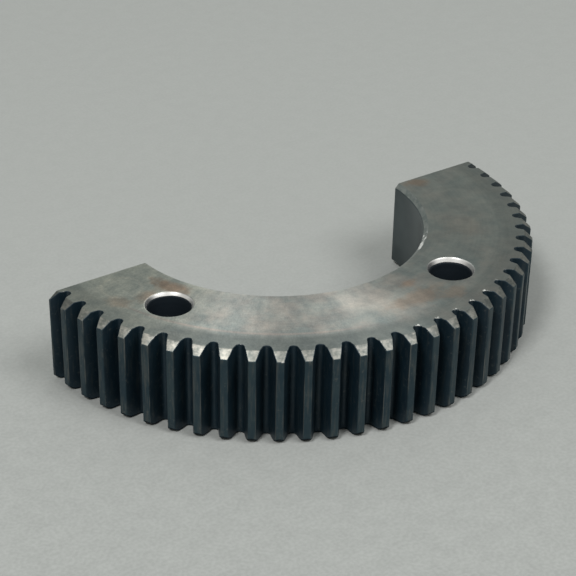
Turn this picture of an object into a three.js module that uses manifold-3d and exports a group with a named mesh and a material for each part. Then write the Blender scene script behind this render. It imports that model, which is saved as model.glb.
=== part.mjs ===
// A gear segment: one half of a spur ring gear, sawn through near its centre.
//
// It is a single piece of machined steel. The blank is turned with chamfers at the
// tooth tips and at the bore, involute tooth spaces are cut round it, two
// countersunk screw holes go through its flat, and a saw cut leaves both end faces
// in one plane. Millimetres, +Z up. The part rests on its bottom face at z = 0, the
// end faces run along X and look towards +Y, and the teeth look towards -Y. The
// origin is the bottom centre of the part's box.

import Module from 'manifold-3d';
import * as THREE from 'three';
import { mergeVertices } from 'three/addons/utils/BufferGeometryUtils.js';

// Tooth system: 20 diametral pitch, which is module 1.27.
const MODULE = 1.27;
const TEETH_IN_FULL_RING = 65;
const PRESSURE_ANGLE = THREE.MathUtils.degToRad(20);
const PITCH_RADIUS = (MODULE * TEETH_IN_FULL_RING) / 2;
const BASE_RADIUS = PITCH_RADIUS * Math.cos(PRESSURE_ANGLE);
const TIP_RADIUS = PITCH_RADIUS + 0.93 * MODULE;
const ROOT_RADIUS = PITCH_RADIUS - 1.25 * MODULE;
const ROOT_FILLET = 0.6;
const TOOTH_ANGLE = (2 * Math.PI) / TEETH_IN_FULL_RING;

// The tooth spaces that the half ring keeps. Angles run counterclockwise from +X.
const SPACE_COUNT = 32;
const FIRST_SPACE_ANGLE = THREE.MathUtils.degToRad(183.9);

// The blank.
const FACE_WIDTH = 15.5;
const TOP_TIP_CHAMFER = { radial: 1.45, axial: 1.15 };
const BOTTOM_TIP_CHAMFER = { radial: 0.95, axial: 0.85 };
const BORE_RADIUS = 24.6;
const TOP_BORE_CHAMFER = 0.8;
const BOTTOM_BORE_CHAMFER = 0.9;

// The saw cut lies this far from the gear axis, on the segment's side of it.
const CUT_OFFSET = 1.1;

// Two screw holes on one circle, with a small steep countersink at both faces. The
// second hole is sunk deeper than the first.
const HOLE_CIRCLE_RADIUS = 32.15;
const HOLE_RADIUS = 3.3;
const SINK_RADIUS = 3.74;
const HOLES = [
  { angle: THREE.MathUtils.degToRad(205.9), sinkDepth: 0.7 },
  { angle: THREE.MathUtils.degToRad(294.8), sinkDepth: 0.95 },
];

// Facets: the blank has two per tooth, with a corner on each tooth's centre line.
const BLANK_SEGMENTS = 2 * TEETH_IN_FULL_RING;
const HOLE_SEGMENTS = 48;
const FLANK_STEPS = 6;
const FILLET_STEPS = 3;

// How far every cutting tool runs past the surface it breaks through.
const OVERRUN = 2;

// The distance from the gear axis to the middle of the part's box.
const AXIS_TO_ORIGIN = (TIP_RADIUS + CUT_OFFSET) / 2;

const wasm = await Module();
wasm.setup();

function toSolid(geometry) {
  geometry.deleteAttribute('normal');
  geometry.deleteAttribute('uv');
  const merged = mergeVertices(geometry);
  return new wasm.Manifold(new wasm.Mesh({
    numProp: 3,
    vertProperties: new Float32Array(merged.attributes.position.array),
    triVerts: new Uint32Array(merged.index.array),
  }));
}

function toGeometry(solid) {
  const { vertProperties, triVerts } = solid.getMesh();
  const geometry = new THREE.BufferGeometry();
  geometry.setAttribute('position', new THREE.BufferAttribute(vertProperties, 3));
  geometry.setIndex(new THREE.BufferAttribute(triVerts, 1));
  geometry.computeVertexNormals();
  return geometry;
}

// A solid of revolution about Z from [radius, height] pairs. A profile goes up its
// outer side, and either closes on itself or starts and ends on the axis.
function turned(profile, segments, startAngle = 0) {
  const points = profile.map(([radius, height]) => new THREE.Vector2(radius, height));
  const geometry = new THREE.LatheGeometry(points, segments, startAngle + Math.PI / 2);
  return toSolid(geometry.rotateX(Math.PI / 2));
}

function blank() {
  const topBoreRim = BORE_RADIUS + TOP_BORE_CHAMFER;
  const bottomBoreRim = BORE_RADIUS + BOTTOM_BORE_CHAMFER;
  return turned([
    [bottomBoreRim, 0],
    [TIP_RADIUS - BOTTOM_TIP_CHAMFER.radial, 0],
    [TIP_RADIUS, BOTTOM_TIP_CHAMFER.axial],
    [TIP_RADIUS, FACE_WIDTH - TOP_TIP_CHAMFER.axial],
    [TIP_RADIUS - TOP_TIP_CHAMFER.radial, FACE_WIDTH],
    [topBoreRim, FACE_WIDTH],
    [BORE_RADIUS, FACE_WIDTH - TOP_BORE_CHAMFER],
    [BORE_RADIUS, BOTTOM_BORE_CHAMFER],
    [bottomBoreRim, 0],
  ], BLANK_SEGMENTS, FIRST_SPACE_ANGLE);
}

function involute(radius) {
  const pressure = Math.acos(BASE_RADIUS / radius);
  return Math.tan(pressure) - pressure;
}

// Half of a tooth space's angle at a radius, from its centre line to a flank.
function halfSpace(radius) {
  return TOOTH_ANGLE / 4 + involute(radius) - involute(PITCH_RADIUS);
}

// The root fillet touches the root circle and the flank. Its centre lies on the
// flank's normal, which is a tangent of the base circle, one fillet beyond the flank.
function rootFillet() {
  const centreRadius = ROOT_RADIUS + ROOT_FILLET;
  const centreTangent = Math.sqrt(centreRadius ** 2 - BASE_RADIUS ** 2);
  const touchTangent = centreTangent - ROOT_FILLET;
  const touchRoll = touchTangent / BASE_RADIUS;
  const normalAngle = halfSpace(BASE_RADIUS) + touchRoll;
  const centreAngle = normalAngle - Math.atan(centreTangent / BASE_RADIUS);
  return {
    x: centreRadius * Math.cos(centreAngle),
    y: centreRadius * Math.sin(centreAngle),
    touchRadius: Math.hypot(BASE_RADIUS, touchTangent),
    flankEnd: Math.PI / 2 + normalAngle,
    rootEnd: Math.PI + centreAngle,
    centreAngle,
  };
}

// The outline of one tooth space, centred on +X: out past the tips along both flanks.
function spaceOutline() {
  const fillet = rootFillet();
  const outerRadius = TIP_RADIUS + OVERRUN;
  const radii = Array.from({ length: FLANK_STEPS }, (_, step) => (
    THREE.MathUtils.lerp(outerRadius, fillet.touchRadius, step / FLANK_STEPS)
  ));
  const flank = radii.map((radius) => ({ radius, angle: halfSpace(radius) }));
  const outline = new THREE.Shape();
  for (const [index, { radius, angle }] of flank.entries()) {
    const draw = index === 0 ? 'moveTo' : 'lineTo';
    outline[draw](radius * Math.cos(angle), -radius * Math.sin(angle));
  }
  outline.absarc(fillet.x, -fillet.y, ROOT_FILLET, -fillet.flankEnd, -fillet.rootEnd, true);
  outline.absarc(0, 0, ROOT_RADIUS, -fillet.centreAngle, fillet.centreAngle, false);
  outline.absarc(fillet.x, fillet.y, ROOT_FILLET, fillet.rootEnd, fillet.flankEnd, true);
  for (const { radius, angle } of flank.reverse()) {
    outline.lineTo(radius * Math.cos(angle), radius * Math.sin(angle));
  }
  return outline;
}

function spaceCutters() {
  const geometry = new THREE.ExtrudeGeometry(spaceOutline(), {
    depth: FACE_WIDTH + 2 * OVERRUN,
    curveSegments: FILLET_STEPS,
    bevelEnabled: false,
  });
  geometry.translate(0, 0, -OVERRUN);
  return Array.from({ length: SPACE_COUNT }, (_, index) => (
    toSolid(geometry.clone().rotateZ(FIRST_SPACE_ANGLE + index * TOOTH_ANGLE))
  ));
}

function holeCutter({ angle, sinkDepth }) {
  const slope = (SINK_RADIUS - HOLE_RADIUS) / sinkDepth;
  const wideRadius = SINK_RADIUS + OVERRUN * slope;
  return turned([
    [0, -OVERRUN],
    [wideRadius, -OVERRUN],
    [HOLE_RADIUS, sinkDepth],
    [HOLE_RADIUS, FACE_WIDTH - sinkDepth],
    [wideRadius, FACE_WIDTH + OVERRUN],
    [0, FACE_WIDTH + OVERRUN],
  ], HOLE_SEGMENTS).translate([
    HOLE_CIRCLE_RADIUS * Math.cos(angle),
    HOLE_CIRCLE_RADIUS * Math.sin(angle),
    0,
  ]);
}

// The half of the ring that the saw cut takes away.
function otherHalf() {
  const size = 2 * (TIP_RADIUS + OVERRUN);
  const height = FACE_WIDTH + 2 * OVERRUN;
  const box = new THREE.BoxGeometry(size, size, height);
  return toSolid(box.translate(0, size / 2 - CUT_OFFSET, FACE_WIDTH / 2));
}

function gearSegment() {
  const cutters = [otherHalf(), ...spaceCutters(), ...HOLES.map(holeCutter)];
  const solid = cutters.reduce((body, cutter) => body.subtract(cutter), blank());
  const steel = new THREE.MeshStandardMaterial({
    color: 0x70766f,
    roughness: 0.45,
    metalness: 1,
  });
  const mesh = new THREE.Mesh(toGeometry(solid), steel);
  mesh.name = 'gear_segment';
  mesh.position.set(0, AXIS_TO_ORIGIN, 0);
  return mesh;
}

const part = new THREE.Group();
part.add(gearSegment());

export default part;
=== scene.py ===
import math

import bpy
import numpy as np
from mathutils import Matrix, Vector, noise
from mathutils.geometry import delaunay_2d_cdt


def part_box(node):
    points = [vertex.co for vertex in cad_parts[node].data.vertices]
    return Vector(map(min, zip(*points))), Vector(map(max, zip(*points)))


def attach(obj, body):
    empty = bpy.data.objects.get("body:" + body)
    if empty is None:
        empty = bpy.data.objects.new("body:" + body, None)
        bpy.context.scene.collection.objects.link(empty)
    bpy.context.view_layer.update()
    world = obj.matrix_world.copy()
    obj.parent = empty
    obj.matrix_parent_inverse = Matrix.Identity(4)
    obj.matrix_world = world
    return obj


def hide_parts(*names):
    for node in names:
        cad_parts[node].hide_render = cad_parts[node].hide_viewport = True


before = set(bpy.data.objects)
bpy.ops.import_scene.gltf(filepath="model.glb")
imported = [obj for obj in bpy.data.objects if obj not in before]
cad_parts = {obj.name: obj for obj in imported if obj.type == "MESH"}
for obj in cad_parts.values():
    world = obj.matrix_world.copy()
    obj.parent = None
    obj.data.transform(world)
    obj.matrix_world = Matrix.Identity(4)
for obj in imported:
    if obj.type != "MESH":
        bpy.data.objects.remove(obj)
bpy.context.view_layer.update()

# A steel gear segment, half of a split spur ring gear. One fine mesh takes the place
# of the CAD node: true arcs and involutes, worn edges, and a material for each kind of
# surface. All lengths are metres.

MM = 0.001
NODE = "gear_segment"
PIECE = "gear_segment_steel"

# ---------------------------------------------------------------- driving dimensions

NODE_LOW, NODE_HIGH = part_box(NODE)
BOTTOM = NODE_LOW.z
TOP = NODE_HIGH.z

MODULE = 1.27 * MM
TEETH_IN_FULL_RING = 65
PRESSURE_ANGLE = math.radians(20)
PITCH_RADIUS = MODULE * TEETH_IN_FULL_RING / 2
BASE_RADIUS = PITCH_RADIUS * math.cos(PRESSURE_ANGLE)
TIP_RADIUS = PITCH_RADIUS + 0.93 * MODULE
ROOT_RADIUS = PITCH_RADIUS - 1.25 * MODULE
ROOT_FILLET = 0.6 * MM
TOOTH_ANGLE = math.tau / TEETH_IN_FULL_RING
SPACE_COUNT = 32
FIRST_SPACE_ANGLE = math.radians(183.9)

CUT_OFFSET = 1.1 * MM
AXIS = Vector((0, NODE_HIGH.y + CUT_OFFSET))
BORE_RADIUS = 24.6 * MM
HOLE_CIRCLE_RADIUS = 32.15 * MM
HOLE_ANGLES = [math.radians(205.9), math.radians(294.8)]
HOLE_RADIUS = 3.3 * MM

# The width of each chamfer across its face, and its drop at the edge.
TOP_TIP_WIDTH = 1.45 * MM
TOP_TIP_DROP = 1.15 * MM
BOTTOM_TIP_WIDTH = 0.95 * MM
BOTTOM_TIP_DROP = 0.85 * MM
TOP_BORE_WIDTH = 0.8 * MM
BOTTOM_BORE_WIDTH = 0.9 * MM
SINK_WIDTH = 0.44 * MM
SINK_DROPS = [0.7 * MM, 0.95 * MM]

# Each chamfer starts at a rim and falls away from the flat face with a slope.
TOP_TIP_RIM = TIP_RADIUS - TOP_TIP_WIDTH
TOP_TIP_SLOPE = TOP_TIP_DROP / TOP_TIP_WIDTH
BOTTOM_TIP_RIM = TIP_RADIUS - BOTTOM_TIP_WIDTH
BOTTOM_TIP_SLOPE = BOTTOM_TIP_DROP / BOTTOM_TIP_WIDTH
TOP_BORE_RIM = BORE_RADIUS + TOP_BORE_WIDTH
BOTTOM_BORE_RIM = BORE_RADIUS + BOTTOM_BORE_WIDTH
BORE_SLOPE = 1
SINK_RIM = HOLE_RADIUS + SINK_WIDTH
SINK_SLOPES = [drop / SINK_WIDTH for drop in SINK_DROPS]

# Wear: how far edges are rounded over, and how much that varies along them. The lower
# edges of the teeth are rounder. That starts at LOW_EDGE_START from the gear axis, grows
# away from sharp corners, and ends within LOW_EDGE_HEIGHT of the lower face.
EDGE_ROUND = 0.1 * MM
LOW_EDGE_ROUND = 0.35 * MM
LOW_EDGE_GROWTH = 0.22
LOW_EDGE_START = ROOT_RADIUS - 1.0 * MM
LOW_EDGE_HEIGHT = 1.0 * MM
CORNER_ROUND = 0.15 * MM
CORNER_GAP = 1.2 * CORNER_ROUND
RIM_EASE = 0.12 * MM
LOW_RIM_EASE = 0.35 * MM
WEAR_VARIATION = 0.3
WEAR_SCALE = 1.6 * MM

# How finely the mesh is drawn, and which of its edges are creases.
SHARP_ANGLE = math.radians(35)
FACE_AREA_WEIGHT = 100
ROOT_STEPS = 2
FILLET_STEPS = 4
FLANK_STEPS = 6
LAND_STEPS = 4
END_STEPS = 12
ROUND_STEPS = 3
BORE_STEPS = 150
HOLE_STEPS = 72
RIM_POINT_GAP = 0.22 * MM
RIM_CLEARANCE = 0.05 * MM

# Distances that are as good as nothing.
SAME_POINT = 1e-8
ON_SAWN_PLANE = 0.01 * MM

# The gear axis, and the way that the sawn ends face, as places in an outline.
CENTRE = Vector((0, 0))
ENDS_FACE = Vector((0, 1))


def polar(radius, angle):
    return Vector((radius * math.cos(angle), radius * math.sin(angle)))


def degrees(*angles):
    """Angles given in degrees, as radians."""
    return [math.radians(angle) for angle in angles]


def add_object(name, data):
    made = bpy.data.objects.new(name, data)
    bpy.context.scene.collection.objects.link(made)
    return made


HOLE_CENTRES = [polar(HOLE_CIRCLE_RADIUS, angle) for angle in HOLE_ANGLES]


# ----------------------------------------------------------------------- the outlines
# An outline is a list of columns, a point and the outward normal there, with the steel
# on the left of its direction. Points are measured from the gear axis.


def arc(centre, radius, start, end, steps, side=1):
    """Columns on an arc. The steel is inside it for side 1 and outside it for -1."""
    columns = []
    for step in range(steps + 1):
        outward = polar(1, start + (end - start) * step / steps)
        columns.append((centre + radius * outward, side * outward))
    return columns


def corner(point, normal_in, normal_out):
    """A worn upright edge: an arc between two surfaces that meet at a point."""
    centre = point - CORNER_ROUND * (normal_in + normal_out) / (1 + normal_in.dot(normal_out))
    start = math.atan2(normal_in.y, normal_in.x)
    end = start + normal_in.angle(normal_out)
    return arc(centre, CORNER_ROUND, start, end, ROUND_STEPS)


def involute(radius):
    pressure = math.acos(BASE_RADIUS / radius)
    return math.tan(pressure) - pressure


def half_space(radius):
    """Half of a tooth space's angle at a radius, from its centre line to a flank."""
    return TOOTH_ANGLE / 4 + involute(radius) - involute(PITCH_RADIUS)


def flank(radius):
    """The column at a radius on the upper flank of a space centred on +X."""
    roll = math.sqrt(radius**2 - BASE_RADIUS**2) / BASE_RADIUS
    normal_angle = half_space(BASE_RADIUS) + roll - math.pi / 2
    return polar(radius, half_space(radius)), polar(1, normal_angle)


def rim_radii(low, high):
    """The radii between two limits where a face changes slope."""
    eases = {
        TOP_TIP_RIM: RIM_EASE,
        BOTTOM_TIP_RIM: LOW_RIM_EASE,
        TOP_BORE_RIM: RIM_EASE,
        BOTTOM_BORE_RIM: RIM_EASE,
    }
    radii = [rim + side * ease for rim, ease in eases.items() for side in (-1, 0, 1)]
    return [radius for radius in radii if low < radius < high]


def upper_half_space():
    """From the bottom of a space centred on +X, up its upper flank to the tooth tip."""
    centre_radius = ROOT_RADIUS + ROOT_FILLET
    centre_tangent = math.sqrt(centre_radius**2 - BASE_RADIUS**2)
    touch_tangent = centre_tangent - ROOT_FILLET
    normal_angle = half_space(BASE_RADIUS) + touch_tangent / BASE_RADIUS
    centre_angle = normal_angle - math.atan(centre_tangent / BASE_RADIUS)
    fillet_start = math.pi + centre_angle
    fillet_end = math.pi / 2 + normal_angle

    centre = polar(centre_radius, centre_angle)
    columns = arc(CENTRE, ROOT_RADIUS, 0, centre_angle, ROOT_STEPS)
    columns += arc(centre, ROOT_FILLET, fillet_start, fillet_end, FILLET_STEPS, side=-1)[1:]

    low = math.hypot(BASE_RADIUS, touch_tangent)
    high = TIP_RADIUS - CORNER_GAP
    radii = [low + (high - low) * step / FLANK_STEPS for step in range(1, FLANK_STEPS + 1)]
    columns += [flank(radius) for radius in sorted(radii + rim_radii(low, high))]
    tip, flank_normal = flank(TIP_RADIUS)
    columns += corner(tip, flank_normal, tip.normalized())
    return columns


def mirrored(columns):
    flip = Matrix(((1, 0), (0, -1)))
    return [(flip @ point, flip @ normal) for point, normal in reversed(columns)]


def rotated(columns, angle):
    turn = Matrix.Rotation(angle, 2)
    return [(turn @ point, turn @ normal) for point, normal in columns]


def angle_of(point):
    """The angle from +X of a point on the segment, from half a turn to a full one."""
    return math.atan2(point.y, point.x) % math.tau


def land(start, end):
    """Columns across a tooth's tip, between two corners and not including them."""
    return arc(CENTRE, TIP_RADIUS, angle_of(start), angle_of(end), LAND_STEPS)[1:-1]


def cut_point(radius, side):
    """The point at a radius on the sawn plane, on the left for side -1."""
    return Vector((side * math.sqrt(radius**2 - CUT_OFFSET**2), -CUT_OFFSET))


def end_face(side):
    """Columns along one sawn face, from the bore to the tip for side -1."""
    low = BORE_RADIUS + CORNER_GAP
    high = TIP_RADIUS - CORNER_GAP
    radii = [low + (high - low) * step / END_STEPS for step in range(END_STEPS + 1)]
    radii = sorted(radii + rim_radii(low, high), reverse=side > 0)
    return [(cut_point(radius, side), ENDS_FACE) for radius in radii]


def segment_outline():
    """Counterclockwise: the teeth, the right end face, the bore, the left end face."""
    half = upper_half_space()
    space = mirrored(half)[:-1] + half
    left_tip, right_tip = (cut_point(TIP_RADIUS, side) for side in (-1, 1))
    left_bore, right_bore = (cut_point(BORE_RADIUS, side) for side in (-1, 1))

    columns = corner(left_tip, ENDS_FACE, left_tip.normalized())
    for index in range(SPACE_COUNT):
        next_space = rotated(space, FIRST_SPACE_ANGLE + index * TOOTH_ANGLE)
        columns += land(columns[-1][0], next_space[0][0]) + next_space
    last_corner = corner(right_tip, right_tip.normalized(), ENDS_FACE)
    columns += land(columns[-1][0], last_corner[0][0]) + last_corner
    columns += end_face(1)
    right_corner = corner(right_bore, ENDS_FACE, -right_bore.normalized())
    left_corner = corner(left_bore, -left_bore.normalized(), ENDS_FACE)
    bore_start = angle_of(right_corner[-1][0])
    bore_end = angle_of(left_corner[0][0])
    bore = arc(CENTRE, BORE_RADIUS, bore_start, bore_end, BORE_STEPS, side=-1)[1:-1]
    return columns + right_corner + bore + left_corner + end_face(-1)


def hole_outline(centre):
    """Clockwise, so that the steel is on the left."""
    return arc(centre, HOLE_RADIUS, 0, -math.tau, HOLE_STEPS, side=-1)[:-1]


# ---------------------------------------------------------------------- the two faces


def fall(distance, slope, ease=RIM_EASE):
    """How far a face has fallen at a distance beyond a rim, with the rim eased over."""
    near = min(max(distance, -ease), ease)
    return slope * ((near + ease) ** 2 / (4 * ease) + max(distance - ease, 0))


def depth(point, tip_rim, tip_slope, tip_ease, bore_rim):
    """How far a face lies below flat at a point."""
    radius = point.length
    total = fall(radius - tip_rim, tip_slope, tip_ease) + fall(bore_rim - radius, BORE_SLOPE)
    for centre, slope in zip(HOLE_CENTRES, SINK_SLOPES):
        total += fall(SINK_RIM - (point - centre).length, slope)
    return total


def top_height(point):
    return TOP - depth(point, TOP_TIP_RIM, TOP_TIP_SLOPE, RIM_EASE, TOP_BORE_RIM)


def bottom_height(point):
    return BOTTOM + depth(point, BOTTOM_TIP_RIM, BOTTOM_TIP_SLOPE, LOW_RIM_EASE, BOTTOM_BORE_RIM)


def sharp_corners():
    """The points where an end face or a tooth's tip makes a corner."""
    ends = [cut_point(radius, side) for radius in (TIP_RADIUS, BORE_RADIUS) for side in (-1, 1)]
    tip, _ = flank(TIP_RADIUS)
    angles = [FIRST_SPACE_ANGLE + index * TOOTH_ANGLE for index in range(SPACE_COUNT)]
    sides = (tip, Vector((tip.x, -tip.y)))
    return ends + [Matrix.Rotation(angle, 2) @ side for angle in angles for side in sides]


SHARP_CORNERS = sharp_corners()


def edge_round(point, is_top):
    """The rounding of an edge at a place, which wear has made uneven, differently on each
    face. The lower edges of the teeth are rounder away from the corners."""
    place = Vector((point.x, point.y, TOP if is_top else -TOP)) / WEAR_SCALE
    size = EDGE_ROUND
    from_plain = point.length - LOW_EDGE_START
    if not is_top and from_plain > 0:
        from_corner = min((point - sharp).length for sharp in SHARP_CORNERS)
        growth = LOW_EDGE_GROWTH * max(min(from_corner, from_plain) - CORNER_ROUND, 0)
        size = min(EDGE_ROUND + growth, LOW_EDGE_ROUND)
    return size * (1 + WEAR_VARIATION * noise.noise(place))


class SegmentMesh:
    """Collects the vertices, faces, kinds of surface and wear of the segment."""

    def __init__(self):
        self.vertices = []
        self.wear = []
        self.faces = []
        self.kinds = []

    def add_vertex(self, point, height, wear):
        self.vertices.append((point.x + AXIS.x, point.y + AXIS.y, height))
        self.wear.append(wear)
        return len(self.vertices) - 1

    def add_face(self, corners, kind):
        self.faces.append(corners)
        self.kinds.append(kind)

    def add_wall(self, columns):
        """Rings of vertices up the columns, with a rounded edge at both ends."""
        rings = []
        for surface, side in ((bottom_height, 1), (top_height, -1)):
            rounding = []
            for step in range(ROUND_STEPS + 1):
                turn = math.pi / 2 * step / ROUND_STEPS
                ring = []
                for point, normal in columns:
                    size = edge_round(point, is_top=side < 0)
                    inner = point - size * (1 - math.cos(turn)) * normal
                    height = surface(inner) + side * size * (1 - math.sin(turn))
                    ring.append(self.add_vertex(inner, height, math.sin(turn)))
                rounding.append(ring)
            rings.append(rounding)
        bottom, top = rings
        stack = bottom[::-1] + top
        count = len(columns)
        for lower, upper in zip(stack, stack[1:]):
            for here in range(count):
                after = (here + 1) % count
                height = (self.vertices[lower[here]][2] + self.vertices[upper[here]][2]) / 2
                kind = wall_kind((columns[here][0] + columns[after][0]) / 2, height)
                self.add_face((lower[here], lower[after], upper[after], upper[here]), kind)
        return stack[0], stack[-1]

    def add_cap(self, loops, surface, rims, is_top):
        """Fills a face inside its loops. Points along each rim keep its crease true."""
        loop_points = [[Vector(self.vertices[vertex][:2]) - AXIS for vertex in loop] for loop in loops]
        points = [point for loop in loop_points for point in loop]
        edges = []
        start = 0
        for loop in loops:
            count = len(loop)
            edges += [(start + here, start + (here + 1) % count) for here in range(count)]
            start += count
        sources = [vertex for loop in loops for vertex in loop]
        for run in rim_runs(rims, loop_points):
            edges += [(len(points) + here, len(points) + here + 1) for here in range(len(run) - 1)]
            points += run
            sources += [self.add_vertex(point, surface(point), 0) for point in run]
        found, _, triangles, origins, _, _ = delaunay_2d_cdt(points, edges, [], 0, SAME_POINT)
        centres = np.array([tuple(point) for point in found])[np.array(triangles)].mean(axis=1)
        for triangle, centre, is_inside in zip(triangles, centres, inside(centres, loop_points)):
            if is_inside:
                corners = [sources[origins[index][0]] for index in triangle]
                self.add_face(corners if is_top else corners[::-1], cap_kind(Vector(centre), is_top))


def rim_runs(rims, loop_points):
    """Runs of points along each rim circle, where it crosses the face."""
    border = np.array([tuple(point) for loop in loop_points for point in loop])
    runs = []
    for centre, radius in rims:
        steps = int(math.tau * radius / RIM_POINT_GAP)
        circle = [centre + polar(radius, math.tau * step / steps) for step in range(steps)]
        places = np.array([tuple(point) for point in circle])
        gaps = np.sqrt(((places[:, None] - border[None]) ** 2).sum(2)).min(1)
        usable = inside(places, loop_points) & (gaps > RIM_CLEARANCE)
        run = []
        for point, is_usable in zip(circle, usable):
            if is_usable:
                run.append(point)
            elif run:
                runs.append(run)
                run = []
        if run:
            runs.append(run)
    return runs


def inside(places, loops):
    """Which places lie within the loops, by counting the edges to their right."""
    crossings = np.zeros(len(places), int)
    for loop in loops:
        start = np.array([tuple(point) for point in loop])
        end = np.roll(start, -1, axis=0)
        for (x0, y0), (x1, y1) in zip(start, end):
            if y0 != y1:
                spans = (places[:, 1] >= min(y0, y1)) & (places[:, 1] < max(y0, y1))
                at = x0 + (places[:, 1] - y0) / (y1 - y0) * (x1 - x0)
                crossings += spans & (at > places[:, 0])
    return crossings % 2 == 1


def hole_distance(point):
    return min((point - centre).length for centre in HOLE_CENTRES)


def wall_kind(point, height):
    """The kind of surface at a place on a wall: the name of its material."""
    if hole_distance(point) < SINK_RIM:
        return "hole_wall"
    if point.y > -CUT_OFFSET - ON_SAWN_PLANE:
        return "sawn_end"
    if point.length < TOP_BORE_RIM:
        return "bore_wall"
    # The lowest part of a tooth wall takes the oxide with painted shade near the floor.
    return "shaded_low_oxide" if height < BOTTOM + LOW_EDGE_HEIGHT else "tooth_oxide"


def cap_kind(point, is_top):
    """The kind of surface at a place on the upper or lower face."""
    if hole_distance(point) < SINK_RIM:
        return "countersink"
    if point.length > (TOP_TIP_RIM if is_top else BOTTOM_TIP_RIM):
        return "tip_chamfer" if is_top else "shaded_low_oxide"
    if point.length < (TOP_BORE_RIM if is_top else BOTTOM_BORE_RIM):
        return "bore_edge"
    return "turned_face"


def eased_rims(centre, radius, ease=RIM_EASE):
    """The circles, each a centre and a radius, where an eased rim starts, bends and ends."""
    return [(centre, radius + side * ease) for side in (-1, 0, 1)]


def build_segment(slots):
    """The whole segment as one object, each face numbered by the slot of its kind of surface among the
    given slots.
    """
    mesh = SegmentMesh()
    outlines = [segment_outline()] + [hole_outline(centre) for centre in HOLE_CENTRES]
    loops = [mesh.add_wall(columns) for columns in outlines]
    sink_rims = [rim for centre in HOLE_CENTRES for rim in eased_rims(centre, SINK_RIM)]
    bottom_rims = eased_rims(CENTRE, BOTTOM_TIP_RIM, LOW_RIM_EASE) + eased_rims(CENTRE, BOTTOM_BORE_RIM)
    top_rims = eased_rims(CENTRE, TOP_TIP_RIM) + eased_rims(CENTRE, TOP_BORE_RIM)
    mesh.add_cap([low for low, _ in loops], bottom_height, bottom_rims + sink_rims, is_top=False)
    mesh.add_cap([high for _, high in loops], top_height, top_rims + sink_rims, is_top=True)

    data = bpy.data.meshes.new(PIECE)
    data.from_pydata(mesh.vertices, [], mesh.faces)
    wear = data.attributes.new("wear", "FLOAT", "POINT")
    wear.data.foreach_set("value", mesh.wear)
    data.polygons.foreach_set("material_index", [slots.index(kind) for kind in mesh.kinds])
    data.shade_smooth()
    data.set_sharp_from_angle(angle=SHARP_ANGLE)
    data.validate()
    piece = add_object(PIECE, data)
    weighted = piece.modifiers.new("face_weighted_normals", "WEIGHTED_NORMAL")
    weighted.keep_sharp = True
    weighted.weight = FACE_AREA_WEIGHT
    return piece


# ------------------------------------------------------------------------ materials

# The mix node's colour sockets share their names with others, so they go by number.
MIX_FIRST = 6
MIX_SECOND = 7
MIX_RESULT = 2

# A noise value lies mostly between these two.
NOISE_LOW = 0.3
NOISE_HIGH = 0.7


def with_alpha(value):
    """A colour of three numbers gets its fourth. A socket stays as it is."""
    return (*value, 1) if isinstance(value, tuple) else value


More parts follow.
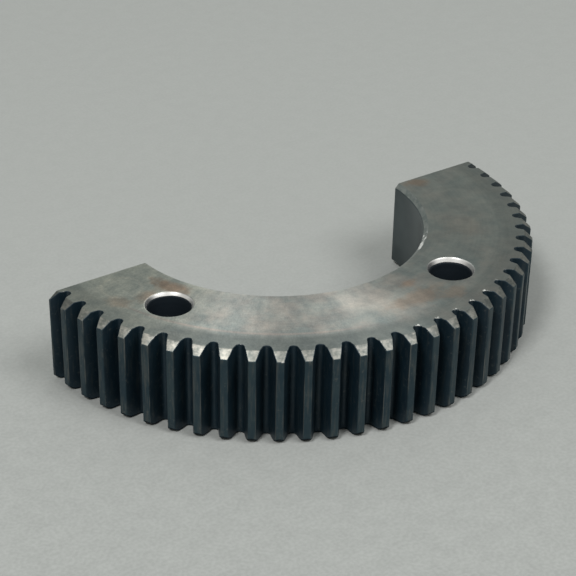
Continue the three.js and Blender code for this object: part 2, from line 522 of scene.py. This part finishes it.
class Shader:
    """A Principled material with short names for its nodes."""

    def __init__(self, name):
        self.material = bpy.data.materials.new(name)
        self.material.use_nodes = True
        self.nodes = self.material.node_tree.nodes
        self.links = self.material.node_tree.links
        self.principled = self.nodes["Principled BSDF"]

    def node(self, kind, *inputs, **settings):
        """A node with its settings, and its inputs in order, as values or sockets."""
        made = self.nodes.new(kind)
        for name, value in settings.items():
            setattr(made, name, value)
        for socket, value in zip(made.inputs, inputs):
            self.put(socket, value)
        return made

    def put(self, socket, value):
        if isinstance(value, bpy.types.NodeSocket):
            self.links.new(value, socket)
        else:
            socket.default_value = value

    def put_named(self, made, values):
        for name, value in values.items():
            self.put(made.inputs[name], value)

    def set(self, **values):
        """Sets the Principled node's inputs. An underline stands for a space."""
        self.put_named(self.principled, {name.replace("_", " "): value for name, value in values.items()})

    def math(self, operation, *inputs):
        return self.node("ShaderNodeMath", *inputs, operation=operation).outputs["Value"]

    def vector(self, operation, *inputs):
        return self.node("ShaderNodeVectorMath", *inputs, operation=operation).outputs["Vector"]

    def measure(self, operation, *inputs):
        """A number worked out from vectors, such as a length."""
        return self.node("ShaderNodeVectorMath", *inputs, operation=operation).outputs["Value"]

    def noise(self, place, scale, detail, roughness):
        made = self.node("ShaderNodeTexNoise")
        self.put_named(made, {"Vector": place, "Scale": scale, "Detail": detail, "Roughness": roughness})
        return made.outputs["Fac"]

    def stretched_noise(self, place, scales, detail, roughness):
        """Noise with its own scale along each axis."""
        return self.noise(self.vector("MULTIPLY", place, scales), 1.0, detail, roughness)

    def range(self, value, low, high, out_low=0.0, out_high=1.0):
        """Maps low..high smoothly to out_low..out_high."""
        made = self.node("ShaderNodeMapRange", interpolation_type="SMOOTHSTEP")
        self.put_named(made, {"Value": value, "From Min": low, "From Max": high})
        self.put_named(made, {"To Min": out_low, "To Max": out_high})
        return made.outputs["Result"]

    def between(self, value, rise_from, rise_to, fall_from, fall_to):
        """1 in the middle of a range of a value, easing to 0 at both ends."""
        rise = self.range(value, rise_from, rise_to)
        return self.math("MULTIPLY", rise, self.range(value, fall_from, fall_to, 1.0, 0.0))

    def mix(self, factor, first, second, blend="MIX"):
        made = self.node("ShaderNodeMix", data_type="RGBA", blend_type=blend)
        self.put(made.inputs["Factor"], factor)
        self.put(made.inputs[MIX_FIRST], with_alpha(first))
        self.put(made.inputs[MIX_SECOND], with_alpha(second))
        return made.outputs[MIX_RESULT]

    def clouded(self, value, first, second):
        """A colour that a noise value moves between two."""
        return self.mix(self.range(value, NOISE_LOW, NOISE_HIGH), first, second)

    def tinted(self, base, value, low, high, amount, tint):
        """A colour with a tint mixed in: none where a value is low, the amount where high."""
        return self.mix(self.range(value, low, high, 0.0, amount), base, tint)

    def textured(self, base, value, strength, dark, light):
        """A colour that a noise value darkens and lightens."""
        shade = self.clouded(value, dark, light)
        return self.mix(strength, base, self.mix(1.0, base, shade, blend="MULTIPLY"))

    def bump(self, height, strength, distance):
        made = self.node("ShaderNodeBump")
        self.put_named(made, {"Strength": strength, "Distance": distance, "Height": height})
        return made.outputs["Normal"]


# Bearings are angles from the middle of the segment, positive towards the right arm.
MIDDLE_ANGLE = 1.5 * math.pi

# Burrs stand along one side of some tooth spaces, with their glints painted on as white
# flecks: a painted highlight. The flecks rise and fade between these bearings, between
# these radii, and between these parts of one tooth's turn, where 0.5 is the middle of a space.
BURR_GLINT_BEARINGS = degrees(-8, -4, 18, 34)
BURR_GLINT_RADII = [ROOT_RADIUS + reach * MM for reach in (-0.35, -0.05, 1.1, 1.7)]
BURR_GLINT_TURNS = [0.48, 0.54, 0.62, 0.72]
BURR_GLINT_EDGE = 0.06

# A patch is whole inside the first of these parts of its size and gone outside the second.
PATCH_CORE = 0.35
PATCH_EDGE = 1.1


class Places:
    """Where a surface point is: its radius and bearing from the gear axis."""

    def __init__(self, shader):
        self.shader = shader
        self.point = shader.node("ShaderNodeTexCoord").outputs["Object"]
        from_axis = shader.vector("SUBTRACT", self.point, (AXIS.x, AXIS.y, 0))
        parts = shader.node("ShaderNodeSeparateXYZ", from_axis).outputs
        self.flat = shader.vector("MULTIPLY", from_axis, (1, 1, 0))
        self.radial = shader.vector("NORMALIZE", self.flat)
        self.radius = shader.measure("LENGTH", self.flat)
        self.bearing = shader.math("ARCTAN2", parts["X"], shader.math("MULTIPLY", parts["Y"], -1.0))

    def turning(self, across, along, detail, roughness):
        """Noise stretched along the turning grooves."""
        shader = self.shader
        outward = shader.math("MULTIPLY", self.radius, across)
        around = shader.math("MULTIPLY", self.bearing, along)
        place = shader.node("ShaderNodeCombineXYZ", outward, around, 0.0).outputs["Vector"]
        return shader.noise(place, 1.0, detail, roughness)

    def from_radius(self, radius):
        """How far a point is from a circle round the gear axis."""
        return self.shader.math("ABSOLUTE", self.shader.math("SUBTRACT", self.radius, radius))

    def patch(self, angle, radius, along, across, ragged):
        """1 inside a ragged patch on the faces and 0 outside it. Its half sizes are
        along and across the turning grooves."""
        shader = self.shader
        offset = shader.math("SUBTRACT", self.bearing, math.radians(angle) - MIDDLE_ANGLE)
        beside = shader.math("MULTIPLY", offset, radius / along)
        outward = shader.math("DIVIDE", shader.math("SUBTRACT", self.radius, radius), across)
        squares = [shader.math("POWER", part, 2.0) for part in (beside, outward)]
        reach = shader.math("SQRT", shader.math("ADD", *squares))
        rough = shader.noise(self.point, 420, 4, 0.65)
        shape = shader.math("ADD", reach, shader.math("MULTIPLY_ADD", rough, ragged, -0.5 * ragged))
        return shader.range(shape, PATCH_CORE, PATCH_EDGE, 1.0, 0.0)

    def burr_glints(self, threshold):
        """Flecks of bare metal beside the bottoms of the burred tooth spaces, painted white as glints: a
        painted highlight.
        """
        shader = self.shader
        from_first = shader.math("SUBTRACT", self.bearing, FIRST_SPACE_ANGLE - MIDDLE_ANGLE)
        turns = shader.math("DIVIDE", from_first, TOOTH_ANGLE)
        across = shader.math("FRACT", shader.math("ADD", turns, 0.5))
        beside = shader.between(across, *BURR_GLINT_TURNS)
        reach = shader.between(self.radius, *BURR_GLINT_RADII)
        along = shader.between(self.bearing, *BURR_GLINT_BEARINGS)
        where = shader.math("MULTIPLY", shader.math("MULTIPLY", beside, reach), along)
        bare_and_glint = shader.noise(self.point, 1500, 2, 0.6)
        return shader.math("MULTIPLY", where, shader.range(bare_and_glint, threshold, threshold + BURR_GLINT_EDGE))


# Marks on the faces: angle in degrees from +X, radius from the gear axis, half sizes
# along and across the turning, strength.
BROWN_STAINS = [
    (200.0, 28.0 * MM, 4.2 * MM, 1.9 * MM, 0.80),
    (198.5, 32.0 * MM, 1.8 * MM, 3.0 * MM, 0.50),
    (195.0, 36.0 * MM, 3.0 * MM, 2.0 * MM, 0.42),
    (276.0, 33.6 * MM, 7.0 * MM, 2.4 * MM, 0.50),
    (284.5, 36.2 * MM, 3.2 * MM, 1.7 * MM, 0.45),
    (279.5, 29.6 * MM, 1.8 * MM, 1.3 * MM, 0.60),
    (354.8, 28.4 * MM, 1.9 * MM, 2.6 * MM, 0.65),
    (322.0, 31.0 * MM, 4.5 * MM, 3.5 * MM, 0.12),
]
PALE_PATCHES = [
    (257.5, 30.0 * MM, 2.0 * MM, 3.6 * MM, 0.45),
    (263.0, 31.0 * MM, 6.0 * MM, 5.0 * MM, 0.30),
    (219.0, 29.5 * MM, 7.0 * MM, 5.0 * MM, 0.15),
    (270.5, 34.0 * MM, 6.0 * MM, 4.5 * MM, 0.35),
]
BROWN = (0.46, 0.335, 0.255)
PALE = (0.62, 0.59, 0.54)
BROWN_RAGGED = 1.6
PALE_RAGGED = 1.1

# A faint pale ring on the left arm.
SMUDGE_CENTRE = polar(32.9 * MM, math.radians(190.2))
SMUDGE_RADIUS = 3.1 * MM
SMUDGE_WIDTH = 0.5 * MM

# The outermost groove that the face tool left.
TOOL_RING_RADIUS = 36.45 * MM
TOOL_RING_WIDTH = 0.5 * MM

# The white of the painted glints on the burred edges: a painted highlight.
BURR_GLINT_WHITE = (0.95, 0.95, 0.90)


def patina(shader, places, cloud):
    """Cloudy steel with warm and cool places of patina. By bearing, it is made paler on the
    left arm and greener on the right arm."""
    warmth = shader.noise(shader.vector("ADD", places.point, (0.3, 0.1, 0.2)), 210, 4, 0.6)
    base = shader.mix(shader.range(cloud, 0.32, 0.68), (0.342, 0.366, 0.351), (0.443, 0.445, 0.418))
    base = shader.tinted(base, warmth, 0.44, 0.72, 0.38, (0.47, 0.395, 0.355))
    base = shader.tinted(base, warmth, 0.56, 0.30, 0.42, (0.30, 0.37, 0.365))
    base = shader.tinted(base, places.bearing, *degrees(-50, -66), 0.9, (0.56, 0.58, 0.53))
    return shader.tinted(base, places.bearing, *degrees(20, 50), 0.5, (0.385, 0.410, 0.382))


def with_film(shader, places, cloud, base):
    """A thin green-grey film outside the tool ring, and the ring itself, which is pink."""
    outside = shader.range(places.radius, TOOL_RING_RADIUS - 0.6 * MM, TOOL_RING_RADIUS + 2.0 * MM)
    middle = shader.between(places.bearing, *degrees(-66, -48, -16, 14))
    film = shader.math("MULTIPLY", outside, shader.math("MULTIPLY_ADD", middle, 0.62, 0.40))
    film = shader.math("MULTIPLY", film, shader.range(cloud, 0.25, 0.75, 0.8, 1.2))
    base = shader.mix(film, base, (0.225, 0.248, 0.238))
    on_ring = shader.range(places.from_radius(TOOL_RING_RADIUS), 0.0, TOOL_RING_WIDTH, 0.5, 0.0)
    fading = shader.between(places.bearing, *degrees(-76, -68, -24, -8))
    return shader.mix(shader.math("MULTIPLY", on_ring, fading), base, (0.54, 0.45, 0.41))


def with_marks(shader, places, mottle, base):
    """Pale patches, brown stains and the pale ring."""
    for patches, ragged, tint in ((PALE_PATCHES, PALE_RAGGED, PALE), (BROWN_STAINS, BROWN_RAGGED, BROWN)):
        for *place, strength in patches:
            patch = shader.math("MULTIPLY", places.patch(*place, ragged), strength)
            base = shader.mix(patch, base, tint)
    distance = shader.measure("DISTANCE", places.flat, (SMUDGE_CENTRE.x, SMUDGE_CENTRE.y, 0))
    off_ring = shader.math("ABSOLUTE", shader.math("SUBTRACT", distance, SMUDGE_RADIUS))
    smudge = shader.range(off_ring, 0.0, SMUDGE_WIDTH, 0.7, 0.0)
    return shader.mix(shader.math("MULTIPLY", smudge, mottle), base, (0.70, 0.68, 0.60))


def turned_face():
    """Satin steel with concentric tool marks, a thin patina, a few brown stains and painted glints on the
    burred edges.
    """
    shader = Shader("turned_face")
    places = Places(shader)
    cloud = shader.noise(places.point, 130, 4, 0.6)
    blotch = shader.noise(places.point, 260, 3, 0.6)
    mottle = places.turning(400, 21, 5, 0.7)
    grain = places.turning(2600, 150, 2, 0.6)
    rings = places.turning(2200, 5, 2, 0.5)

    base = patina(shader, places, cloud)
    base = with_film(shader, places, cloud, base)
    base = with_marks(shader, places, mottle, base)

    # Fine texture over everything, strongest on the left arm and weakest on the right.
    on_left = shader.range(places.bearing, *degrees(-40, -65), 0.6, 1.0)
    fineness = shader.range(places.bearing, *degrees(-70, 40), 1.0, 0.35)
    base = shader.textured(base, blotch, on_left, (0.86, 0.88, 0.89), (1.14, 1.12, 1.09))
    base = shader.textured(base, mottle, fineness, (0.86, 0.875, 0.88), (1.16, 1.14, 1.12))
    base = shader.textured(base, grain, fineness, (0.91, 0.91, 0.91), (1.09, 1.09, 1.09))
    base = shader.textured(base, rings, 0.5, (0.94, 0.94, 0.94), (1.06, 1.06, 1.06))

    # Painted glints on the burred edges: white flecks, less metallic, a painted highlight.
    bare_and_glint = places.burr_glints(0.46)
    base = shader.mix(bare_and_glint, base, BURR_GLINT_WHITE)
    shader.set(Base_Color=base, Roughness=0.57, Anisotropic=0.80, Tangent=places.radial)
    shader.set(Metallic=shader.math("MULTIPLY_ADD", bare_and_glint, -0.8, 1.0))
    shader.set(Normal=shader.bump(shader.math("ADD", rings, mottle), 0.15, 0.01 * MM))
    return shader.material


def oxide_on_lands(shader, cloud, streaks, specks):
    base = shader.clouded(cloud, (0.010, 0.029, 0.041), (0.024, 0.045, 0.054))
    base = shader.tinted(base, streaks, 0.46, 0.68, 0.60, (0.070, 0.077, 0.073))
    return shader.tinted(base, specks, 0.58, 0.74, 0.6, (0.10, 0.105, 0.095))


def shaded_oxide_in_spaces(shader, places, cloud, streaks, specks):
    # The oxide, darker than on the lands as painted shade in the spaces, and lighter towards the right
    # arm, by bearing.
    base = shader.clouded(cloud, (0.005, 0.017, 0.027), (0.010, 0.026, 0.038))
    base = shader.tinted(base, streaks, 0.50, 0.70, 0.60, (0.030, 0.042, 0.047))
    base = shader.tinted(base, specks, 0.58, 0.72, 0.55, (0.07, 0.08, 0.08))
    return shader.tinted(base, places.bearing, *degrees(35, 75), 0.6, (0.035, 0.048, 0.052))


def tooth_oxide():
    """Blue-black oxide, painted darker in the spaces as shade, rubbed through in places on the edges,
    with painted glints on the burred edges.
    """
    shader = Shader("tooth_oxide")
    places = Places(shader)
    specks = shader.noise(places.point, 1500, 3, 0.7)
    patches = shader.noise(places.point, 620, 3, 0.6)
    cloud = shader.noise(places.point, 160, 3, 0.6)
    streaks = shader.stretched_noise(places.point, (2000, 2000, 260), 3, 0.6)
    on_lands = oxide_on_lands(shader, cloud, streaks, specks)
    in_shaded_spaces = shaded_oxide_in_spaces(shader, places, cloud, streaks, specks)
    # The spaces take the oxide with painted shade; the lands take it without.
    is_land = shader.range(places.radius, TIP_RADIUS - 0.30 * MM, TIP_RADIUS - 0.05 * MM)
    base = shader.mix(is_land, in_shaded_spaces, on_lands)

    # A thin grey line runs up parts of the upright edges.
    on_edge = shader.range(places.from_radius(TIP_RADIUS - 0.10 * MM), 0.03 * MM, 0.08 * MM, 0.9, 0.0)
    runs = shader.stretched_noise(places.point, (420, 420, 110), 3, 0.6)
    line = shader.math("MULTIPLY", on_edge, shader.range(runs, 0.50, 0.64))
    base = shader.mix(line, base, (0.13, 0.137, 0.13))

    wear = shader.node("ShaderNodeAttribute", attribute_name="wear").outputs["Fac"]
    rubbed = shader.math("MULTIPLY", shader.range(wear, 0.3, 0.9), shader.range(patches, 0.64, 0.72))
    # Bare metal where the oxide is rubbed off the edges, and painted glints on the burred edges.
    bare_and_glint = shader.math("MAXIMUM", rubbed, shader.math("MULTIPLY", wear, places.burr_glints(0.42)))
    base = shader.mix(bare_and_glint, base, (0.50, 0.50, 0.47))
    shader.set(Base_Color=base, Metallic=0.45, Roughness=0.44)
    shader.set(Normal=shader.bump(shader.math("ADD", specks, patches), 0.35, 0.012 * MM))
    return shader.material


def shaded_low_oxide():
    """Dull black oxide on the lower chamfers, which are not rubbed, darker and less reflective than the
    oxide above as painted shade near the floor.
    """
    shader = Shader("shaded_low_oxide")
    places = Places(shader)
    cloud = shader.noise(places.point, 700, 3, 0.6)
    # Painted shade near the floor: darker than the oxide above, with little reflection.
    base = shader.clouded(cloud, (0.004, 0.009, 0.013), (0.009, 0.016, 0.022))
    shader.set(Base_Color=base, Metallic=0.0, Roughness=0.75, Specular_IOR_Level=0.1)
    shader.set(Normal=shader.bump(cloud, 0.3, 0.01 * MM))
    return shader.material


def tip_chamfer():
    """Bare bright steel with soft marks where the chamfer tool ran, with a painted highlight
    left of the middle, painted shade towards both ends, and painted glints on the burred edges."""
    shader = Shader("tip_chamfer")
    places = Places(shader)
    streaks = places.turning(3500, 60, 2, 0.5)
    mottle = shader.noise(places.point, 900, 3, 0.65)
    base = shader.clouded(streaks, (0.240, 0.248, 0.232), (0.335, 0.330, 0.310))
    base = shader.textured(base, mottle, 1.0, (0.62, 0.66, 0.66), (1.30, 1.27, 1.22))
    # A painted highlight left of the middle, and painted shade towards both ends, set by bearing.
    bright = shader.between(places.bearing, *degrees(-82, -74, -38, -26))
    base = shader.mix(bright, base, shader.mix(1.0, base, (1.30, 1.28, 1.26), blend="MULTIPLY"))
    painted_shade_right = shader.range(places.bearing, *degrees(-20, 30), 0.0, 0.24)
    painted_shade_left = shader.range(places.bearing, *degrees(-78, -86), 0.0, 0.45)
    base = shader.mix(shader.math("ADD", painted_shade_right, painted_shade_left), base, (0.06, 0.07, 0.07))
    # Painted glints on the burred edges: white flecks, less metallic, a painted highlight.
    bare_and_glint = places.burr_glints(0.48)
    base = shader.mix(bare_and_glint, base, BURR_GLINT_WHITE)
    shader.set(Base_Color=base, Roughness=0.54, Anisotropic=0.4, Tangent=places.radial)
    shader.set(Metallic=shader.math("MULTIPLY_ADD", bare_and_glint, -0.8, 1.0))
    shader.set(Normal=shader.bump(mottle, 0.2, 0.01 * MM))
    return shader.material


def sawn_end():
    """Satin steel with straight saw marks across the end faces."""
    shader = Shader("sawn_end")
    places = Places(shader)
    marks = shader.stretched_noise(places.point, (120, 1, 4200), 2, 0.5)
    base = shader.clouded(marks, (0.30, 0.31, 0.30), (0.44, 0.45, 0.43))
    shader.set(Base_Color=base, Metallic=1.0, Roughness=0.45)
    shader.set(Normal=shader.bump(marks, 0.3, 0.02 * MM))
    return shader.material


def bore_wall():
    """Dark slate oxide over fine turning marks."""
    shader = Shader("bore_wall")
    places = Places(shader)
    marks = shader.stretched_noise(places.point, (60, 60, 3500), 3, 0.6)
    cloud = shader.noise(places.point, 150, 2, 0.5)
    base = shader.clouded(cloud, (0.06, 0.075, 0.08), (0.09, 0.11, 0.115))
    shader.set(Base_Color=base, Metallic=0.8, Roughness=0.4)
    shader.set(Normal=shader.bump(marks, 0.3, 0.01 * MM))
    return shader.material


def bore_edge():
    """The chamfer round the bore: dark satin, burnished along one stretch and painted bright there as a
    highlight.
    """
    shader = Shader("bore_edge")
    places = Places(shader)
    mottle = shader.noise(places.point, 700, 3, 0.65)
    base = shader.mix(shader.range(mottle, 0.35, 0.65), (0.22, 0.25, 0.24), (0.34, 0.36, 0.34))
    # A painted highlight on a burnished stretch of the chamfer: near white and less metallic, so that it
    # shines under any light.
    stretch = shader.between(places.bearing, *degrees(28, 31, 44, 48))
    ragged = shader.noise(shader.vector("ADD", places.point, (0.7, 0.2, 0.5)), 480, 2, 0.5)
    bright = shader.math("MULTIPLY", stretch, shader.range(ragged, 0.40, 0.52))
    base = shader.mix(bright, base, (0.78, 0.78, 0.75))
    shader.set(Base_Color=base, Roughness=0.42)
    shader.set(Metallic=shader.math("MULTIPLY_ADD", bright, -0.75, 0.9))
    shader.set(Normal=shader.bump(mottle, 0.3, 0.012 * MM))
    return shader.material


def hole_wall():
    """Near-black drilled wall."""
    shader = Shader("hole_wall")
    places = Places(shader)
    marks = shader.stretched_noise(places.point, (60, 60, 2500), 2, 0.5)
    base = shader.mix(marks, (0.006, 0.012, 0.018), (0.016, 0.024, 0.032))
    shader.set(Base_Color=base, Metallic=0.3, Roughness=0.55)
    shader.set(Normal=shader.bump(marks, 0.3, 0.01 * MM))
    return shader.material


# A countersink has painted shade where its cone faces this level direction, and a little
# where it faces away from it.
SHADED_FACING = (0.81, -0.59, 0.0)


def countersink():
    """Bare bright steel cone at the mouth of a screw hole, with painted shade on two sides, and
    an upper rim as dull as the face round it."""
    shader = Shader("countersink")
    places = Places(shader)
    marks = shader.noise(places.point, 420, 2, 0.5)
    base = shader.clouded(marks, (0.66, 0.64, 0.61), (0.88, 0.86, 0.83))
    normal = shader.node("ShaderNodeNewGeometry").outputs["Normal"]
    facing = shader.measure("DOT_PRODUCT", normal, SHADED_FACING)
    # Painted shade: dark where the cone faces one level direction, greyer where it faces the other.
    base = shader.tinted(base, facing, 0.44, 0.80, 0.90, (0.03, 0.035, 0.04))
    base = shader.tinted(base, facing, -0.50, -0.85, 0.75, (0.08, 0.09, 0.09))
    upward = shader.node("ShaderNodeSeparateXYZ", normal).outputs["Z"]
    base = shader.tinted(base, upward, 0.56, 0.85, 0.85, (0.30, 0.30, 0.29))
    shader.set(Base_Color=base, Metallic=0.35, Roughness=0.35)
    return shader.material


# Each kind of surface has the name of the function that makes its material.
MATERIAL_MAKERS = [
    turned_face, tooth_oxide, shaded_low_oxide, tip_chamfer,
    sawn_end, bore_wall, bore_edge, hole_wall, countersink,
]


# ----------------------------------------------------------------- floor, light, view

# Angles in degrees, distances in metres, lens and sensor in millimetres.
CAMERA_AZIMUTH = 234.28
CAMERA_ELEVATION = 29.95
CAMERA_DISTANCE = 273.8 * MM
CAMERA_ROLL = 1.01
CAMERA_LENS = 105.31
CAMERA_SENSOR_WIDTH = 36
CAMERA_CLIP_START = 0.01
AIM = Vector((-3.2 * MM, 13.0 * MM, TOP - 8.0 * MM))

# Two round soft lights: azimuth in degrees, diameter in metres and power in watts.
LIGHTS = {"left_key": (205, 0.50, 22.0), "right_key": (294, 1.05, 18.5)}
LIGHT_ELEVATION = 52
LIGHT_DISTANCE = 2.0

STUDIO_COLOUR = (0.95, 1.0, 0.97, 1)
STUDIO_BRIGHTEST_ELEVATION = 25
STUDIO_DIM = 0.29
STUDIO_BRIGHT = 0.40

# The floor's half width, and how far in front of the object its texture is clearest.
FLOOR_HALF = 3.0
FLOOR_CLEAR = 60 * MM


def direction(azimuth, elevation):
    """A unit vector, from degrees counterclockwise from +X and degrees above level."""
    level = math.cos(math.radians(elevation))
    flat = polar(level, math.radians(azimuth))
    return Vector((flat.x, flat.y, math.sin(math.radians(elevation))))


def aimed(azimuth, elevation, distance, roll=0):
    """The placing of a camera or light that looks at the object from a direction."""
    towards = direction(azimuth, elevation)
    turn = towards.to_track_quat("Z", "Y").to_matrix() @ Matrix.Rotation(math.radians(roll), 3, "Z")
    return Matrix.Translation(AIM + distance * towards) @ turn.to_4x4()


def make_camera():
    data = bpy.data.cameras.new("camera")
    data.lens = CAMERA_LENS
    data.sensor_width = CAMERA_SENSOR_WIDTH
    data.clip_start = CAMERA_CLIP_START
    camera = add_object("camera", data)
    camera.matrix_world = aimed(CAMERA_AZIMUTH, CAMERA_ELEVATION, CAMERA_DISTANCE, CAMERA_ROLL)
    bpy.context.scene.camera = camera


def make_lights():
    for name, (azimuth, size, power) in LIGHTS.items():
        data = bpy.data.lights.new(name, "AREA")
        data.shape = "DISK"
        data.size = size
        data.energy = power
        light = add_object(name, data)
        light.matrix_world = aimed(azimuth, LIGHT_ELEVATION, LIGHT_DISTANCE)


def make_world():
    """A soft grey studio, a little brighter behind the object than beside it."""
    world = bpy.data.worlds.new("studio")
    world.use_nodes = True
    nodes = world.node_tree.nodes
    links = world.node_tree.links
    facing = nodes.new("ShaderNodeVectorMath")
    facing.operation = "DOT_PRODUCT"
    facing.inputs[1].default_value = direction(CAMERA_AZIMUTH + 180, STUDIO_BRIGHTEST_ELEVATION)
    links.new(nodes.new("ShaderNodeTexCoord").outputs["Generated"], facing.inputs[0])
    strength = nodes.new("ShaderNodeMapRange")
    strength.interpolation_type = "SMOOTHSTEP"
    limits = {"From Min": -0.2, "From Max": 0.9, "To Min": STUDIO_DIM, "To Max": STUDIO_BRIGHT}
    for name, value in limits.items():
        strength.inputs[name].default_value = value
    links.new(facing.outputs["Value"], strength.inputs["Value"])
    background = nodes["Background"]
    background.inputs["Color"].default_value = STUDIO_COLOUR
    links.new(strength.outputs["Result"], background.inputs["Strength"])
    bpy.context.scene.world = world


def pale_floor():
    """A plain pale sheet with a very fine tooth, clearer in front than behind."""
    shader = Shader("pale_floor")
    point = shader.node("ShaderNodeTexCoord").outputs["Object"]
    fleck = shader.noise(point, 1800, 2, 0.5)
    fibre = shader.noise(point, 330, 4, 0.6)
    nearness = shader.measure("DOT_PRODUCT", point, direction(CAMERA_AZIMUTH, 0))
    clear = shader.range(nearness, -FLOOR_CLEAR, FLOOR_CLEAR, 0.4, 1.0)
    flecked = shader.clouded(fleck, (0.350, 0.360, 0.343), (0.390, 0.400, 0.383))
    base = shader.mix(clear, (0.370, 0.380, 0.363), flecked)
    base = shader.textured(base, fibre, clear, (0.965, 0.965, 0.965), (1.035, 1.035, 1.035))
    shader.set(Base_Color=base, Roughness=0.85)
    return shader.material


def make_floor():
    corners = [(x * FLOOR_HALF, y * FLOOR_HALF, 0) for x, y in ((-1, -1), (1, -1), (1, 1), (-1, 1))]
    data = bpy.data.meshes.new("floor")
    data.from_pydata(corners, [], [(0, 1, 2, 3)])
    data.materials.append(pale_floor())
    floor = add_object("floor", data)
    floor.location.z = BOTTOM


make_camera()
make_world()
make_lights()
make_floor()
bpy.context.scene.view_settings.view_transform = "Standard"

segment = build_segment([maker.__name__ for maker in MATERIAL_MAKERS])
for maker in MATERIAL_MAKERS:
    segment.data.materials.append(maker())
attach(segment, "root")
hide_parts(NODE)
